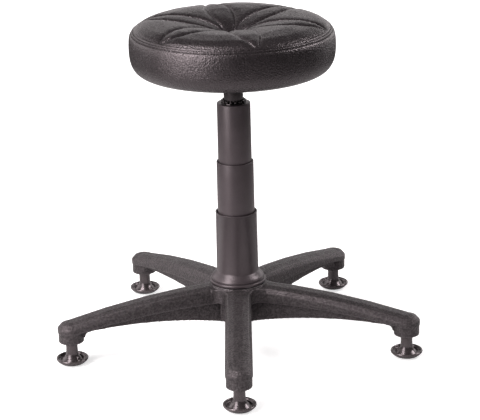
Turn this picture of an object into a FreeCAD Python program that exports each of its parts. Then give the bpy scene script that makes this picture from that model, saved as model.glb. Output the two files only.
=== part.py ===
import FreeCAD, Part
import math
import os
from FreeCAD import Vector

# A height-adjustable round stool with a five-arm base, in millimetres.
# Origin: centre of the base on the floor. +Z is up and -Y is the front.

# Sizes of the base
base_diameter = 610.0
arm_count = 5
base_clearance = 38.0
hub_height = 66.0
hub_radius = 36.0
hub_pad_radius = 46.0
hub_pad_height = 7.0
hub_bottom_rise = 3.0
boss_radius = 21.5
boss_height = 34.5
boss_step = 1.0
arm_root_half_width = 20.5
arm_crown_half_width = 7.0
arm_crease_root_inset = 3.0
arm_crease_tip_inset = 6.0
arm_crease_drop = 3.0
arm_shoulder_drop = 10.0
arm_cap_root_depth = 28.0
arm_cap_tip_depth = 17.5
web_half_width = 12.5
web_wall = 3.5
web_root_rise = 1.0
web_arch_rise = 12.5
web_tip_rise = 14.5
web_root_share = 0.8
cap_wall = 5.0
cap_sections = 5
rib_thickness = 3.0
bays_per_arm = 5
gusset_radius = 17.0

# Sizes of the glides
glide_radius = 25.0
glide_foot_radius = 17.0
glide_rim_height = 11.0
glide_rim_width = 2.5
glide_edge_share = 0.6
glide_moat_depth = 4.0
glide_cone_radius = 17.5
glide_neck_radius = 9.0
glide_neck_height = 27.0
stem_radius = 5.5
stem_length = 24.0
socket_spare = 1.0

# Sizes of the gas lift
column_radius = 25.0
column_wall = 2.0
column_length = 226.0
column_inset = 4.0
column_taper_length = 34.0
taper = 1.0 / 40.0
column_plate_thickness = 4.0
bush_length = 68.0
tube_radius = 14.0
tube_wall = 1.8
tube_exposed = 177.0
tube_length = 250.0
tube_taper_length = 22.0
tube_end_thickness = 14.0
rod_radius = 5.0
rod_collar_radius = 9.0
rod_collar_height = 2.7
rod_head_radius = 8.0
rod_head_height = 1.7
bearing_radius = 12.0
bearing_thickness = 7.0
bump_stop_radius = 11.0
bump_stop_length = 14.0
guide_length = 18.0
piston_length = 12.0
piston_lead = 8.0
button_radius = 3.0
button_rise = 4.5
button_depth = 12.0

# Sizes of the telescopic cover
cover_wall = 1.3
stage_overlap = 28.0
upper_radius = 27.2
upper_length = 125.0
upper_top_below_tube = 39.0
middle_radius = 30.2
middle_length = 125.0
lower_radius = 33.9
lower_length = 120.0
lip_height = 2.0
flange_radius = 45.5
flange_height = 6.5
flange_edge = 1.6
flange_groove = 2.0
dome_height = 13.0
dome_bulge = 1.0
crown_ring_radius = 21.5
crown_ring_height = 9.0
crown_collar_wall = 2.2
crown_collar_rise = 1.0
crown_floor = 2.5
crown_slots = 16
crown_slot_width = 3.6

# Sizes of the seat plate and the release lever
socket_wall = 4.0
socket_grip = 14.0
socket_rise = 3.0
sheet = 2.5
plate_side = 150.0
plate_corner = 18.0
pan_width = 76.0
pan_depth = 22.0
pan_corner = 12.0
screw_pitch = 116.0
screw_radius = 3.0
screw_head_width = 10.0
screw_head_height = 4.0
screw_depth = 9.0
pilot_spare = 1.0
lever_radius = 3.0
lever_pivot_offset = 32.0
lever_reach = 112.0
lever_bend = 8.0
lever_drop = 10.0
lever_headroom = 4.2
lever_hub_radius = 4.2
lever_hub_width = 11.0
lever_slot_width = 16.0
paddle_length = 42.0
paddle_width = 24.0
paddle_thickness = 8.5
paddle_corner = 10.0
pin_radius = 2.5
pin_overhang = 1.0
ear_thickness = 2.5
ear_length = 14.0

# Sizes of the seat
board_thickness = 12.0
seat_radius = 163.5
seat_foot_inset = 25.5
seat_foot_rise = 26.0
seat_band_upright = 18.0
foot_out_share = 0.7
foot_up_share = 0.36
crown_out_share = 0.6
crown_up_share = 0.68
turn_under = 20.0
turn_under_thickness = 1.7
band_seam_inset = 6.2
band_seam_height = 65.0
band_seam_groove = 1.3
crown_height = 83.0
crown_ridge_inset = 61.5
tuft_depth = 21.0
tuft_radius = 6.0
tuft_steepness = 1.6
tuft_shoulder_share = 0.43
tuft_shoulder_drop = 9.5
foam_height = 34.0
petal_count = 6
petal_turn = 44.0
petal_half_angle = 28.0
channel_depth = 4.6
channel_half_width = 5.5
channel_lift = 1.5
channel_headroom = 14.0
channel_start_radius = 5.0
channel_ridge_share = 0.85
dust_cloth_thickness = 0.8
dust_cloth_overlap = 16.0
dust_cloth_gap = 4.0

# Clearances
running_fit = 0.05
push_fit = 0.03
soft_gap = 0.3
stack_gap = 0.3
cover_slide_gap = 0.35

# Radii of the seat worked out from its width
seat_foot_radius = seat_radius - seat_foot_inset
board_radius = seat_foot_radius
band_seam_radius = seat_radius - band_seam_inset
crown_ridge_radius = seat_radius - crown_ridge_inset
tuft_shoulder_radius = crown_ridge_radius * tuft_shoulder_share

# Places worked out from the sizes
hub_top = base_clearance + hub_height
boss_centre = base_diameter / 2 - boss_radius
arm_tip_top = base_clearance + boss_height
column_bottom = base_clearance + column_inset
column_top = column_bottom + column_length
taper_foot = hub_top - column_taper_length
tube_top = column_top + tube_exposed
tube_bottom = tube_top - tube_length
bearing_seat = column_bottom + 2 * column_plate_thickness
collar_bottom = bearing_seat + bearing_thickness + stack_gap
upper_top = tube_top - upper_top_below_tube
button_top = tube_top + button_rise
lever_height = button_top + stack_gap + lever_radius
board_bottom = lever_height + lever_radius + lever_headroom
seat_bottom = board_bottom - turn_under_thickness - soft_gap
board_top = board_bottom + board_thickness
plate_bottom = board_bottom - sheet
pan_floor = board_bottom - pan_depth
band_seam = seat_bottom + band_seam_height
crown_top = seat_bottom + crown_height
guide_top = tube_bottom + guide_length
piston_bottom = guide_top + piston_lead


def outline(start, steps):
    """Closed wire in the XZ plane: one point in a step is a line, two are an arc."""
    edges = []
    here = Vector(start[0], 0, start[1])
    first = here
    for step in steps:
        end = Vector(step[-2], 0, step[-1])
        if len(step) == 4:
            middle = Vector(step[0], 0, step[1])
            edges.append(Part.Arc(here, middle, end).toShape())
        else:
            edges.append(Part.makeLine(here, end))
        here = end
    edges.append(Part.makeLine(here, first))
    return Part.Wire(edges)


def turned(start, steps):
    """Solid turned about the Z axis from a half outline."""
    face = Part.Face(outline(start, steps))
    return face.revolve(Vector(0, 0, 0), Vector(0, 0, 1), 360)


def ring(inner, outer, bottom, top):
    """Plain ring between two radii and two heights."""
    return turned((inner, bottom), [(outer, bottom), (outer, top), (inner, top)])


def disc(radius, bottom, top, x=0.0, y=0.0):
    """Upright cylinder between two heights."""
    return Part.makeCylinder(radius, top - bottom, Vector(x, y, bottom))


def block(x_low, x_high, y_low, y_high, bottom, top):
    """Box between its lowest and highest corners."""
    return Part.makeBox(x_high - x_low, y_high - y_low, top - bottom, Vector(x_low, y_low, bottom))


def upright_edges(solid):
    """Edges of a solid that stand parallel to the Z axis."""
    found = []
    for edge in solid.Edges:
        low, high = sorted(vertex.Z for vertex in edge.Vertexes)
        if high - low > edge.Length / 2:
            found.append(edge)
    return found


def rounded_block(width, depth, corner, bottom, top):
    """Box about the Z axis with rounded upright edges."""
    solid = block(-width / 2, width / 2, -depth / 2, depth / 2, bottom, top)
    return solid.makeFillet(corner, upright_edges(solid))


def clipped_block(width, corner, bottom, top):
    """Square box about the Z axis with its upright edges clipped."""
    solid = block(-width / 2, width / 2, -width / 2, width / 2, bottom, top)
    return solid.makeChamfer(corner, upright_edges(solid))


def about_z(shape, degrees):
    """Copy of a shape turned about the Z axis."""
    copy = shape.copy()
    copy.rotate(Vector(0, 0, 0), Vector(0, 0, 1), degrees)
    return copy


def moved(shape, x, y, z):
    """Copy of a shape at another place."""
    copy = shape.copy()
    copy.translate(Vector(x, y, z))
    return copy


def arm_angle(index):
    """Direction of an arm about the Z axis, the first one to the front."""
    return -90.0 + index * 360.0 / arm_count


def polar(radius, degrees, height=0.0):
    """Point at a radius and a direction about the Z axis."""
    angle = math.radians(degrees)
    return Vector(radius * math.cos(angle), radius * math.sin(angle), height)


# Base

def arm_top(x):
    """Height of the arm's bowed top at a distance from the axis: level at the hub, steeper outwards."""
    return hub_top - (hub_top - arm_tip_top) * (x / boss_centre) ** 2


def along_arm(x, at_root, at_tip):
    """Size that changes evenly from the arm's root to its end."""
    root = hub_radius * web_root_share
    return at_root + (at_tip - at_root) * (x - root) / (boss_centre - root)


def arm_half_width(x):
    """Half width of the arm at a distance from the axis."""
    return along_arm(x, arm_root_half_width, boss_radius)


def arm_under(x):
    """Height of the cap's lower edge: the cap is deeper at the hub than at the end."""
    return arm_top(x) - along_arm(x, arm_cap_root_depth, arm_cap_tip_depth)


def arm_section(x):
    """Section of the arm's cap: a crowned top, a crease and a sloping shoulder on each side."""
    top = arm_top(x)
    width = arm_half_width(x)
    crease = width - along_arm(x, arm_crease_root_inset, arm_crease_tip_inset)
    side = [(arm_crown_half_width, top), (crease, top - arm_crease_drop),
            (width, top - arm_shoulder_drop), (width, arm_under(x))]
    points = [Vector(x, y, z) for y, z in side]
    points += [Vector(x, -y, z) for y, z in reversed(side)]
    return Part.makePolygon(points + points[:1])


def arm_end():
    """Round end of the arm: the cap's shoulder carried round it, over a straight boss."""
    shoulder = arm_tip_top - arm_shoulder_drop
    under = arm_tip_top - arm_cap_tip_depth
    nose = Part.Face(outline((0, under), [
        (boss_radius, under),
        (boss_radius, shoulder),
        (boss_radius - arm_crease_tip_inset, arm_tip_top - arm_crease_drop),
        (arm_crown_half_width, arm_tip_top),
        (0, arm_tip_top),
    ])).revolve(Vector(0, 0, 0), Vector(0, 0, 1), 180)
    nose.rotate(Vector(0, 0, 0), Vector(0, 0, 1), -90)
    boss = disc(boss_radius - boss_step, base_clearance, shoulder)
    return [moved(nose, boss_centre, 0, 0), moved(boss, boss_centre, 0, 0)]


def web_plate(x_low, x_high, half_width, roof_gap, floor_gap):
    """Upright plate under the cap, with an arched lower edge between hub and boss."""
    root = hub_radius * web_root_share
    span = boss_centre - boss_radius * web_root_share - root

    def arch(x):
        along = (x - root) / span
        rise = 4 * web_arch_rise * along * (1 - along) + web_tip_rise * along ** 2
        return base_clearance + web_root_rise - floor_gap + rise

    middle = (x_low + x_high) / 2
    wire = outline((x_low, arch(x_low)), [
        (middle, arch(middle), x_high, arch(x_high)),
        (x_high, arm_top(x_high) - roof_gap),
        (x_low, arm_top(x_low) - roof_gap),
    ])
    plate = Part.Face(wire).extrude(Vector(0, 2 * half_width, 0))
    return moved(plate, 0, -half_width, 0)


def base_arm():
    """One arm: cap, web and end, hollowed from below between cross ribs."""
    root = hub_radius * web_root_share
    tip = boss_centre - boss_radius * web_root_share
    sections = []
    for index in range(cap_sections):
        sections.append(arm_section(root + (boss_centre - root) * index / (cap_sections - 1)))
    cap = Part.makeLoft(sections, True, True)
    arm = cap.fuse(web_plate(root, tip, web_half_width, cap_wall, 0.0))
    bay_root = hub_radius + rib_thickness * 2
    bay = (tip - rib_thickness - bay_root) / bays_per_arm
    pocket_half_width = web_half_width - web_wall
    for index in range(bays_per_arm):
        low = bay_root + index * bay + rib_thickness / 2
        high = low + bay - rib_thickness
        arm = arm.cut(web_plate(low, high, pocket_half_width, cap_wall, web_arch_rise))
    for piece in arm_end():
        arm = arm.fuse(piece)
    return arm


def gusset_star():
    """Wall between the arm roots, its edge an arc tangent to both neighbours' sides."""
    half_step = 180.0 / arm_count
    centre_radius = (arm_root_half_width + gusset_radius) / math.sin(math.radians(half_step))
    edges = []
    for index in range(arm_count):
        bisector = arm_angle(index) + half_step
        start_side = polar(centre_radius * math.cos(math.radians(half_step)), arm_angle(index))
        start_side += polar(arm_root_half_width, arm_angle(index) + 90)
        end_side = polar(centre_radius * math.cos(math.radians(half_step)), arm_angle(index + 1))
        end_side += polar(arm_root_half_width, arm_angle(index + 1) - 90)
        next_side = polar(centre_radius * math.cos(math.radians(half_step)), arm_angle(index + 1))
        next_side += polar(arm_root_half_width, arm_angle(index + 1) + 90)
        nearest = polar(centre_radius - gusset_radius, bisector)
        edges.append(Part.Arc(start_side, nearest, end_side).toShape())
        edges.append(Part.makeLine(end_side, next_side))
    reach = centre_radius * math.cos(math.radians(half_step))
    under = arm_under(reach)
    top = arm_top(reach) - arm_crease_drop
    star = Part.Face(Part.Wire(edges)).extrude(Vector(0, 0, top - under))
    return moved(star, 0, 0, under)


def hub_body():
    """Hub with a round pad that the cover's flange rests on."""
    pad_bottom = hub_top - hub_pad_height
    hub_bottom = base_clearance + hub_bottom_rise
    return turned((0, hub_bottom), [
        (hub_radius, hub_bottom),
        (hub_radius, pad_bottom - hub_pad_height),
        (hub_pad_radius, pad_bottom),
        (hub_pad_radius, hub_top),
        (0, hub_top),
    ])


def base_star():
    """One-piece moulded base with its tapered hub bore and five stem sockets."""
    star = hub_body().fuse(gusset_star())
    for index in range(arm_count):
        star = star.fuse(about_z(base_arm(), arm_angle(index)))
    bore_top = column_radius + push_fit
    bore_bottom = bore_top - column_taper_length * taper
    star = star.cut(turned((0, base_clearance), [
        (bore_bottom, base_clearance),
        (bore_bottom, taper_foot),
        (bore_top, hub_top),
        (0, hub_top),
    ]))
    socket_radius = stem_radius + push_fit
    socket_top = base_clearance + stem_length + socket_spare
    for index in range(arm_count):
        place = polar(boss_centre, arm_angle(index))
        star = star.cut(disc(socket_radius, base_clearance, socket_top, place.x, place.y))
    return star.removeSplitter()


# Glides

def at_each_arm(shape):
    """Group of separate copies of a shape, one under each arm's end."""
    copies = []
    for index in range(arm_count):
        place = polar(boss_centre, arm_angle(index))
        copies.append(moved(shape, place.x, place.y, 0))
    return Part.makeCompound(copies)


def glide():
    """Saucer-shaped glide with a moat and a cone that rises to its neck."""
    moat_floor = glide_rim_height - glide_moat_depth
    return turned((0, 0), [
        (glide_foot_radius, 0),
        (glide_radius, glide_rim_height * glide_edge_share),
        (glide_radius, glide_rim_height),
        (glide_radius - glide_rim_width, glide_rim_height),
        (glide_radius - glide_rim_width, moat_floor),
        (glide_cone_radius, moat_floor),
        (glide_neck_radius, glide_neck_height),
        (glide_neck_radius, base_clearance),
        (0, base_clearance),
    ])


def glide_stem():
    """Steel stem on the glide's neck, held in the arm's socket."""
    return disc(stem_radius, base_clearance, base_clearance + stem_length)


# Gas lift

def column_tube():
    """Outer tube with a tapered seat for the hub and a plate that carries the bearing."""
    foot_radius = column_radius - column_taper_length * taper
    plate_hole = rod_radius + running_fit
    return turned((plate_hole, bearing_seat - column_plate_thickness), [
        (foot_radius - column_wall, bearing_seat - column_plate_thickness),
        (foot_radius - column_wall, column_bottom),
        (foot_radius, column_bottom),
        (foot_radius, taper_foot),
        (column_radius, hub_top),
        (column_radius, column_top),
        (column_radius - column_wall, column_top),
        (column_radius - column_wall, bearing_seat),
        (plate_hole, bearing_seat),
    ])


def column_bush():
    """Bush that guides the pressure tube in the top of the column."""
    outer = column_radius - column_wall - push_fit
    return ring(tube_radius + running_fit, outer, column_top - bush_length, column_top)


def piston_rod():
    """Rod with its riveted end, the collar that rests on the bearing, and the piston."""
    plate_under = column_bottom + column_plate_thickness
    head_top = plate_under - stack_gap
    piston_radius = tube_radius - tube_wall - running_fit
    return turned((0, head_top - rod_head_height), [
        (rod_head_radius, head_top - rod_head_height),
        (rod_head_radius, head_top),
        (rod_radius, head_top),
        (rod_radius, collar_bottom),
        (rod_collar_radius, collar_bottom),
        (rod_collar_radius, collar_bottom + rod_collar_height),
        (rod_radius, collar_bottom + rod_collar_height),
        (rod_radius, piston_bottom),
        (piston_radius, piston_bottom),
        (piston_radius, piston_bottom + piston_length),
        (0, piston_bottom + piston_length),
    ])


def pressure_tube():
    """Tube with a rod guide below and a tapered, bored end that the seat plate wedges onto."""
    tip_radius = tube_radius - tube_taper_length * taper
    inner = tube_radius - tube_wall
    button_bore = button_radius + running_fit
    rod_bore = rod_radius + running_fit
    return turned((rod_bore, tube_bottom), [
        (tube_radius, tube_bottom),
        (tube_radius, tube_top - tube_taper_length),
        (tip_radius, tube_top),
        (button_bore, tube_top),
        (button_bore, tube_top - tube_end_thickness),
        (inner, tube_top - tube_end_thickness),
        (inner, guide_top),
        (rod_bore, guide_top),
    ])


# Telescopic cover

def cover_lower():
    """Fixed stage with a domed foot whose rolled edge rests on the hub."""
    foot = hub_top
    dome_foot = foot + flange_height
    dome_radius = flange_radius - flange_groove
    return turned((middle_radius + cover_slide_gap, foot), [
        (flange_radius - flange_edge, foot),
        (flange_radius, foot + flange_edge),
        (flange_radius, dome_foot - flange_edge),
        (flange_radius - flange_edge, dome_foot),
        (dome_radius, dome_foot),
        ((dome_radius + lower_radius) / 2 + dome_bulge, dome_foot + dome_height / 2 + dome_bulge,
         lower_radius, dome_foot + dome_height),
        (lower_radius, foot + lower_length),
        (middle_radius + cover_slide_gap, foot + lower_length),
    ])


def cover_upper():
    """Top stage, closed round the pressure tube by a plate that carries the crown ring."""
    bottom = upper_top - upper_length
    inner = upper_radius - cover_wall
    return turned((inner, bottom), [
        (upper_radius, bottom),
        (upper_radius, upper_top),
        (tube_radius + push_fit, upper_top),
        (tube_radius + push_fit, upper_top - lip_height),
        (inner, upper_top - lip_height),
    ])


def crown_ring():
    """Castellated ring that grips the pressure tube above the cover."""
    inner = tube_radius + push_fit
    top = upper_top + crown_ring_height
    collar = inner + crown_collar_wall
    floor = upper_top + crown_floor
    wall = crown_ring_radius - crown_collar_wall
    body = turned((inner, upper_top), [
        (crown_ring_radius, upper_top),
        (crown_ring_radius, top),
        (wall, top),
        (wall, floor),
        (collar, floor),
        (collar, top + crown_collar_rise),
        (inner, top + crown_collar_rise),
    ])
    half_slot = crown_slot_width / 2
    slot = block((collar + wall) / 2, crown_ring_radius + crown_slot_width, -half_slot, half_slot,
                 floor, top + crown_ring_height)
    cutters = [about_z(slot, index * 360.0 / crown_slots) for index in range(crown_slots)]
    return body.cut(cutters)


# Seat plate and release lever

def crosswise(radius, length):
    """Cylinder along the X axis, centred on the lever's pivot."""
    start = Vector(-length / 2, lever_pivot_offset, lever_height)
    return Part.makeCylinder(radius, length, start, Vector(1, 0, 0))


def seat_plate():
    """Pressed plate with a sunk pan, a welded taper socket and two lever ears."""
    flange = clipped_block(plate_side, plate_corner, plate_bottom, board_bottom)
    pan_outer = clipped_block(pan_width, pan_corner, pan_floor, board_bottom)
    pan_inner = clipped_block(pan_width - 2 * sheet, pan_corner - sheet, pan_floor + sheet, board_bottom)
    socket_bottom = tube_top - socket_grip
    socket_top = tube_top + socket_rise
    socket_radius = tube_radius + socket_wall
    ear_inside = lever_hub_width / 2 + stack_gap
    plate = flange.fuse(pan_outer).cut(pan_inner)
    ears = []
    for side in (-1, 1):
        near = side * ear_inside
        far = side * (ear_inside + ear_thickness)
        low = lever_pivot_offset - ear_length / 2
        ears.append(block(min(near, far), max(near, far), low, low + ear_length,
                          pan_floor + sheet / 2, plate_bottom))
    plate = plate.fuse([disc(socket_radius, socket_bottom, socket_top)] + ears)
    bore_bottom = tube_radius - (tube_taper_length - socket_grip) * taper + push_fit
    bore_top = bore_bottom - socket_grip * taper
    plate = plate.cut(turned((0, socket_bottom), [
        (bore_bottom, socket_bottom),
        (bore_top, tube_top),
        (bore_top, socket_top),
        (0, socket_top),
    ]))
    half_slot = lever_slot_width / 2
    slot = block(-half_slot, half_slot, pan_width / 2 - 2 * sheet, pan_width / 2 + sheet,
                 pan_floor + 2 * sheet, plate_bottom)
    pin_hole = crosswise(pin_radius + push_fit, pan_width / 2)
    plate = plate.cut([slot, pin_hole])
    for x, y in screw_places():
        plate = plate.cut(disc(screw_radius + stack_gap, plate_bottom, board_bottom, x, y))
    return plate.removeSplitter()


def screw_places():
    """Centres of the four screws that hold the plate to the board."""
    half = screw_pitch / 2
    return [(x, y) for x in (-half, half) for y in (-half, half)]


def plate_screws():
    """Four hexagon-head screws under the plate."""
    screws = []
    for x, y in screw_places():
        corner = screw_head_width / math.sqrt(3)
        hexagon = Part.Wire(Part.makePolygon([polar(corner, 60.0 * index) for index in range(7)]))
        head = Part.Face(hexagon).extrude(Vector(0, 0, screw_head_height))
        head = moved(head, x, y, plate_bottom - screw_head_height)
        shank = disc(screw_radius, plate_bottom, board_bottom + screw_depth, x, y)
        screws.append(head.fuse(shank))
    return Part.makeCompound(screws)


def lever_rod():
    """Bent rod over the release button, through a hub on the pivot pin."""
    low = lever_height - lever_drop
    path = Part.makePolygon([
        Vector(0, -lever_radius, lever_height),
        Vector(0, lever_pivot_offset + lever_bend, lever_height),
        Vector(0, lever_pivot_offset + 2 * lever_bend, low),
        Vector(0, lever_pivot_offset + lever_reach - paddle_length / 2, low),
    ])
    section = Part.Wire([Part.Circle(path.Vertexes[0].Point, Vector(0, 1, 0), lever_radius).toShape()])
    rod = path.makePipeShell([section], True, False, 1)
    hub = crosswise(lever_hub_radius, lever_hub_width)
    bore = crosswise(pin_radius + running_fit, 2 * lever_hub_width)
    return rod.fuse(hub).cut(bore)


def lever_paddle():
    """Flat moulded finger grip pushed onto the lever's outer end."""
    centre = lever_height - lever_drop
    outer = lever_pivot_offset + lever_reach
    body = rounded_block(paddle_width, paddle_length, paddle_corner,
                         centre - paddle_thickness / 2, centre + paddle_thickness / 2)
    body = moved(body, 0, outer - paddle_length / 2, 0)
    bore = Part.makeCylinder(lever_radius + push_fit, paddle_length,
                             Vector(0, outer - 1.5 * paddle_length, centre), Vector(0, 1, 0))
    return body.cut(bore)


def lever_pin():
    """Pivot pin between the two ears."""
    return crosswise(pin_radius, lever_hub_width + 2 * (stack_gap + ear_thickness + pin_overhang))


# Seat

def seat_board():
    """Round board with a pilot hole for each screw."""
    board = disc(board_radius, board_bottom, board_top)
    for x, y in screw_places():
        pilot_top = board_bottom + screw_depth + pilot_spare
        board = board.cut(disc(screw_radius + push_fit, board_bottom, pilot_top, x, y))
    return board


def seat_outer():
    """Outer form: rounded foot, upright band, drawn-in seam, crown and sunk centre."""
    foot_top = seat_bottom + seat_foot_rise
    foot_width = seat_radius - seat_foot_radius
    crown_rise = crown_top - band_seam
    crown_width = band_seam_radius - crown_ridge_radius
    seam_radius = band_seam_radius - band_seam_groove
    return turned((0, seat_bottom), [
        (seat_foot_radius, seat_bottom),
        (seat_foot_radius + foot_width * foot_out_share, seat_bottom + seat_foot_rise * foot_up_share),
        (seat_radius, foot_top),
        (seat_radius, foot_top + seat_band_upright),
        (band_seam_radius + band_seam_groove, band_seam - band_seam_groove),
        (seam_radius, band_seam),
        (crown_ridge_radius + crown_width * crown_out_share, band_seam + crown_rise * crown_up_share),
        (crown_ridge_radius, crown_top),
        (tuft_shoulder_radius, crown_top - tuft_shoulder_drop),
        (tuft_radius, crown_top - tuft_depth),
        (0, crown_top - tuft_depth),
    ])


def seam_point(radius, turn, side):
    """Point on a seam: an arc in plan from the centre to the rim, off the leaf's middle line."""
    share = math.sin(math.radians(petal_half_angle)) * radius / band_seam_radius
    off_middle = petal_half_angle - math.degrees(math.asin(share))
    crest = crown_ridge_radius
    if radius < crest:
        height = crown_top - tuft_depth * (1 - radius / crest) ** tuft_steepness
    else:
        drop = ((radius - crest) / (band_seam_radius - crest)) ** 2
        height = crown_top - (crown_top - band_seam) * drop
    return polar(radius, turn + side * off_middle, height)


def channel_cutter(turn, side):
    """Pointed channel along one seam, turned about the axis of its bend."""
    start = seam_point(channel_start_radius, turn, side)
    ridge = seam_point(crown_ridge_radius * channel_ridge_share, turn, side)
    rim = seam_point(band_seam_radius - channel_half_width, turn, side)
    bend = Part.Arc(start, ridge, rim).toShape()
    circle = bend.Curve
    along = bend.tangentAt(bend.FirstParameter)
    across = Vector(0, 0, 1).cross(along).normalize()
    up = along.cross(across).normalize()
    half = channel_half_width
    corners = [(0, -channel_depth), (half, channel_lift), (half, channel_headroom),
               (-half, channel_headroom), (-half, channel_lift), (0, -channel_depth)]
    section = Part.makePolygon([start + across * aside + up * above for aside, above in corners])
    sweep = math.degrees(bend.LastParameter - bend.FirstParameter)
    return Part.Face(section).revolve(circle.Center, circle.Axis, sweep)


def seat_cover():
    """Quilted cover: outer form with its sewn channels, hollow over the pad."""
    cover = seat_outer()
    cutters = []
    for index in range(petal_count):
        turn = petal_turn + index * 360.0 / petal_count
        cutters.append(channel_cutter(turn, -1))
        cutters.append(channel_cutter(turn, 1))
    for cutter in cutters:
        cover = cover.cut(cutter)
    opening = disc(seat_foot_radius - turn_under, seat_bottom, board_bottom)
    filling = disc(board_radius + soft_gap, board_bottom - soft_gap, board_top + foam_height + soft_gap)
    return cover.cut([opening, filling])


def foam_pad():
    """Foam disc on the board, as wide as the board."""
    return disc(board_radius, board_top, board_top + foam_height)


def dust_cloth():
    """Thin cloth under the board, cut out round the seat plate."""
    top = seat_bottom - soft_gap
    cloth = disc(seat_foot_radius - turn_under + dust_cloth_overlap, top - dust_cloth_thickness, top)
    hole = clipped_block(plate_side + dust_cloth_gap, plate_corner, top - dust_cloth_thickness, top)
    return cloth.cut(hole)


def write(name, shape):
    """Write one sub-part."""
    shape.exportStep("parts/" + name + ".step")


def build():
    """Make every sub-part."""
    os.makedirs("parts", exist_ok=True)
    write("base_star", base_star())
    write("glides", at_each_arm(glide()))
    write("glide_stems", at_each_arm(glide_stem()))
    write("column_tube", column_tube())
    write("column_bush", column_bush())
    bearing_top = bearing_seat + bearing_thickness
    write("thrust_bearing", ring(rod_radius + running_fit, bearing_radius, bearing_seat, bearing_top))
    write("piston_rod", piston_rod())
    stop_bottom = collar_bottom + rod_collar_height
    stop_top = stop_bottom + bump_stop_length
    write("bump_stop", ring(rod_radius + push_fit, bump_stop_radius, stop_bottom, stop_top))
    write("pressure_tube", pressure_tube())
    write("release_button", disc(button_radius, button_top - button_depth, button_top))
    middle_top = upper_top - upper_length + stage_overlap
    write("cover_lower", cover_lower())
    middle_bottom = middle_top - middle_length
    write("cover_middle", ring(upper_radius + cover_slide_gap, middle_radius, middle_bottom, middle_top))
    write("cover_upper", cover_upper())
    write("crown_ring", crown_ring())
    write("seat_plate", seat_plate())
    write("plate_screws", plate_screws())
    write("lever_rod", lever_rod())
    write("lever_paddle", lever_paddle())
    write("lever_pin", lever_pin())
    write("seat_board", seat_board())
    write("foam_pad", foam_pad())
    write("seat_cover", seat_cover())
    write("dust_cloth", dust_cloth())


build()
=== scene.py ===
# %% [markdown]
# A round stool: a tufted seat on a gas lift, with a telescopic cover and a star base.
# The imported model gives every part's place. It is loaded first and never changed.
# Each later cell dresses one part, either with a better surface on the same mesh
# or with a finer piece that stands for it.

# %% Load the frame
import math
import bpy
import bmesh
import numpy as np
from mathutils import Matrix, Vector


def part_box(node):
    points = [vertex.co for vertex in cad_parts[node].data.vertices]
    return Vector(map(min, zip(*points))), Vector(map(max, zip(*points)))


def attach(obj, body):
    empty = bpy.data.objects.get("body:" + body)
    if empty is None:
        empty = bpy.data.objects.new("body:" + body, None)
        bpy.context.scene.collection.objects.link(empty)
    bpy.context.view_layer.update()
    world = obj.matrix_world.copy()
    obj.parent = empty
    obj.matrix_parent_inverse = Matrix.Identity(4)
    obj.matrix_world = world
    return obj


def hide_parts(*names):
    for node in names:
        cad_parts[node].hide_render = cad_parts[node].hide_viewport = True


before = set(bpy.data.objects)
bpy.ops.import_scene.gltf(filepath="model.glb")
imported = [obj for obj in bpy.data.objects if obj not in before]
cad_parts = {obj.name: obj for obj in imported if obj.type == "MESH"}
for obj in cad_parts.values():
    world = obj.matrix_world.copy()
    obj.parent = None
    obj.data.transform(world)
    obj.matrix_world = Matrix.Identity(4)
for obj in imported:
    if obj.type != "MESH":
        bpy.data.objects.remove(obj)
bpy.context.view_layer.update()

MM = 0.001
print("parts in the frame:", len(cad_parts))

# %% [markdown]
# A mesh can be typed in as points and faces. Most pieces here are turned or swept,
# so one helper takes a grid of points and joins the neighbours into four-sided faces.
# Points are written in millimetres and stored in metres.

# %% A helper for grids of points
def grid_faces(rows, columns, wrap_rows=False):
    """Four-sided faces of a grid whose columns close into a ring."""
    faces = []
    for i in range(rows if wrap_rows else rows - 1):
        for j in range(columns):
            a, b = i * columns + j, i * columns + (j + 1) % columns
            c = (i + 1) % rows * columns
            faces.append((a, b, c + (j + 1) % columns, c + j))
    return faces


def make_piece(name, points, faces, body, material=None):
    """New smooth mesh that rides on a body."""
    mesh = bpy.data.meshes.new(name)
    mesh.from_pydata([tuple(p) for p in np.asarray(points, float) * MM], [], faces)
    mesh.update()
    shaper = bmesh.new()
    shaper.from_mesh(mesh)
    bmesh.ops.recalc_face_normals(shaper, faces=shaper.faces)
    shaper.to_mesh(mesh)
    shaper.free()
    for face in mesh.polygons:
        face.use_smooth = True
    piece = bpy.data.objects.new(name, mesh)
    bpy.context.scene.collection.objects.link(piece)
    if material:
        mesh.materials.append(material)
    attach(piece, body)
    return piece

# %% [markdown]
# A turned part needs only half of its section. Real moulded edges are never sharp,
# so each corner of the section carries a small radius, and the helper replaces the
# corner with a short arc before the section is turned about the stool's axis.

# %% A helper for turned parts
def rounded_section(corners, steps=4):
    """Section whose corners (radius, height, rounding) become arcs."""
    section = []
    count = len(corners)
    for index, (r, z, rounding) in enumerate(corners):
        here = np.array([r, z], float)
        before = np.array(corners[index - 1][:2], float) - here
        after = np.array(corners[(index + 1) % count][:2], float) - here
        reach = min(rounding, np.linalg.norm(before) / 2.01, np.linalg.norm(after) / 2.01)
        if reach < 0.01:
            section.append(here)
            continue
        start = here + before / np.linalg.norm(before) * reach
        end = here + after / np.linalg.norm(after) * reach
        for step in range(steps + 1):
            t = step / steps
            section.append((1 - t) ** 2 * start + 2 * t * (1 - t) * here + t ** 2 * end)
    return np.array(section)


def turn_section(section, segments, centre=(0.0, 0.0)):
    """Points of a closed section turned about an upright axis."""
    angles = np.linspace(0, 2 * math.pi, segments, endpoint=False)
    r = section[:, 0][:, None]
    x = centre[0] + r * np.cos(angles)
    y = centre[1] + r * np.sin(angles)
    z = np.repeat(section[:, 1][:, None], segments, axis=1)
    return np.stack([x, y, z], axis=-1).reshape(-1, 3)


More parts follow.
